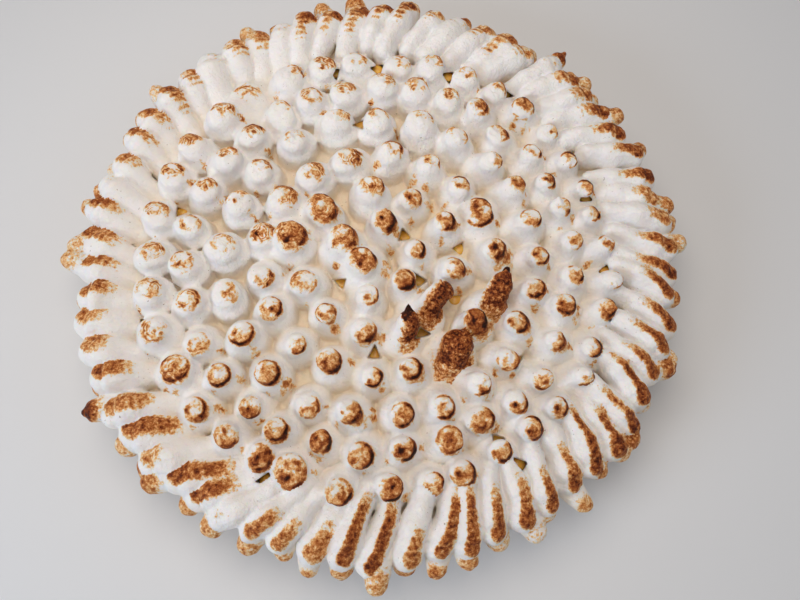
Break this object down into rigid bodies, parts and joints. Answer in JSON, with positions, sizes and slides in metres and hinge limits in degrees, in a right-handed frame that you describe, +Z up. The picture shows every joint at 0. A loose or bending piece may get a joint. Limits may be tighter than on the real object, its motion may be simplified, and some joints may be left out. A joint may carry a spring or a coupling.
{
  "type": "lemon meringue pie",
  "caption": "Round lemon meringue pie: a fluted pastry shell, lemon curd, and toasted meringue piped as kisses inside a border of slanting strokes.",
  "frame": {"origin": "centre of the flat underside, on the surface that the pie stands on", "axes": "+Z up, the round pie lies in the X-Y plane"},
  "size_m": [0.3333, 0.3355, 0.0525],
  "materials": {
    "pastry": "matt, baked shortcrust",
    "lemon_curd": "glossy set curd",
    "meringue": "soft satin foam with toasted tips"
  },
  "bodies": {
    "root": {"crust": "pastry", "lemon_filling": "lemon_curd", "meringue": "meringue"}
  },
  "joints": []
}
